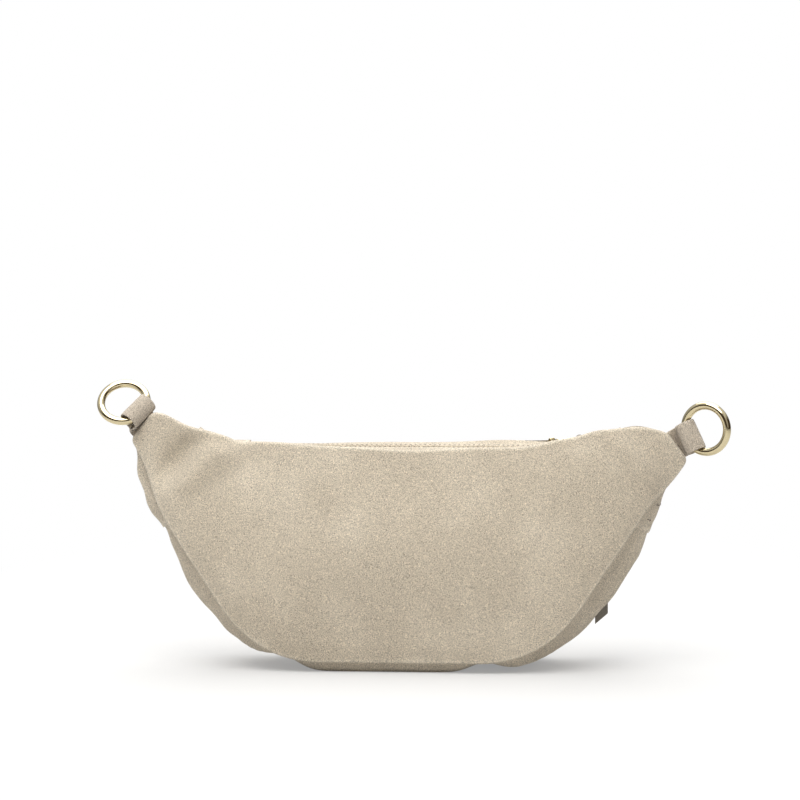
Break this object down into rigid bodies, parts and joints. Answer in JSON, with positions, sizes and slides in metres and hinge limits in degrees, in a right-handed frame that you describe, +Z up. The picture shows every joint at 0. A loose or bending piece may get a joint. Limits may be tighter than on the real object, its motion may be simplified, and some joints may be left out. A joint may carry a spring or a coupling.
{
  "type": "belt bag",
  "caption": "Crescent-shaped soft belt bag with a zipped top opening, a zipped front pocket, a flat base and a metal O-ring in a folded tab at each upper corner.",
  "frame": {"origin": "middle of the flat base, on the surface the bag stands on", "axes": "+X along the bag's width towards its right end seen from the back, +Z up, -Y out of the plain back panel, +Y out of the pocket side"},
  "size_m": [0.4123, 0.0787, 0.1876],
  "materials": {
    "suede": "napped, matt",
    "tab_suede": "napped, matt",
    "pull_leather": "matt",
    "lining_fabric": "matt",
    "zip_tape": "matt",
    "pale_gold": "polished"
  },
  "bodies": {
    "bag": {"back_panel": "suede", "front_panel_lower": "suede", "front_panel_upper": "suede", "gusset_end_left": "suede", "gusset_end_right": "suede", "lower_gusset": "suede", "main_lining": "lining_fabric", "main_zip_end_stop": "pale_gold", "main_zip_tape_back": "zip_tape", "main_zip_tape_front": "zip_tape", "main_zip_top_stop_back": "pale_gold", "main_zip_top_stop_front": "pale_gold", "pocket_lining": "lining_fabric", "pocket_zip_end_stop": "pale_gold", "pocket_zip_tape_lower": "zip_tape", "pocket_zip_tape_upper": "zip_tape", "pocket_zip_top_stop_lower": "pale_gold", "pocket_zip_top_stop_upper": "pale_gold", "ring_tab_left": "tab_suede", "ring_tab_right": "tab_suede", "zip_gusset_back": "suede", "zip_gusset_front": "suede"},
    "left ring": {"ring_left": "pale_gold"},
    "right ring": {"ring_right": "pale_gold"},
    "main slider": {"main_slider": "pale_gold"},
    "main link": {"main_puller": "pale_gold"},
    "main pull": {"main_pull": "pull_leather"},
    "pocket slider": {"pocket_slider": "pale_gold"},
    "pocket link": {"pocket_puller": "pale_gold"},
    "pocket pull": {"pocket_pull": "pull_leather"}
  },
  "joints": [
    {"name": "main_zip_slide", "type": "slide", "parent": "bag", "child": "main slider", "axis": [-1, 0, 0], "range_m": [0, 0.185], "deforming": ["main_zip_tape_back", "main_zip_tape_front"]},
    {"name": "main_link_turn", "type": "hinge", "parent": "main slider", "child": "main link", "pos_m": [0.0935, -0.006, 0.14905], "axis": [0, -1, 0], "range_deg": [0, 135]},
    {"name": "main_pull_turn", "type": "hinge", "parent": "main link", "child": "main pull", "pos_m": [0.11131, -0.006, 0.15092], "axis": [0, -1, 0], "range_deg": [0, 45]},
    {"name": "pocket_zip_slide", "type": "slide", "parent": "bag", "child": "pocket slider", "axis": [-1, 0, 0], "range_m": [0, 0.2515], "deforming": ["pocket_zip_tape_lower", "pocket_zip_tape_upper"]},
    {"name": "pocket_link_turn", "type": "hinge", "parent": "pocket slider", "child": "pocket link", "pos_m": [0.1265, 0.03035, 0.087], "axis": [1, 0, 0], "range_deg": [0, 130]},
    {"name": "pocket_pull_turn", "type": "hinge", "parent": "pocket link", "child": "pocket pull", "pos_m": [0.1265, 0.03346, 0.06936], "axis": [1, 0, 0], "range_deg": [0, 60]},
    {"name": "left_ring_turn", "type": "hinge", "parent": "bag", "child": "left ring", "pos_m": [-0.17622, -0.0166, 0.16784], "axis": [0.5948, 0.5166, 0.6159], "range_deg": [-10, 100]},
    {"name": "right_ring_turn", "type": "hinge", "parent": "bag", "child": "right ring", "pos_m": [0.18301, -0.01504, 0.15332], "axis": [0.4127, -0.2188, -0.8842], "range_deg": [-60, 60]}
  ]
}
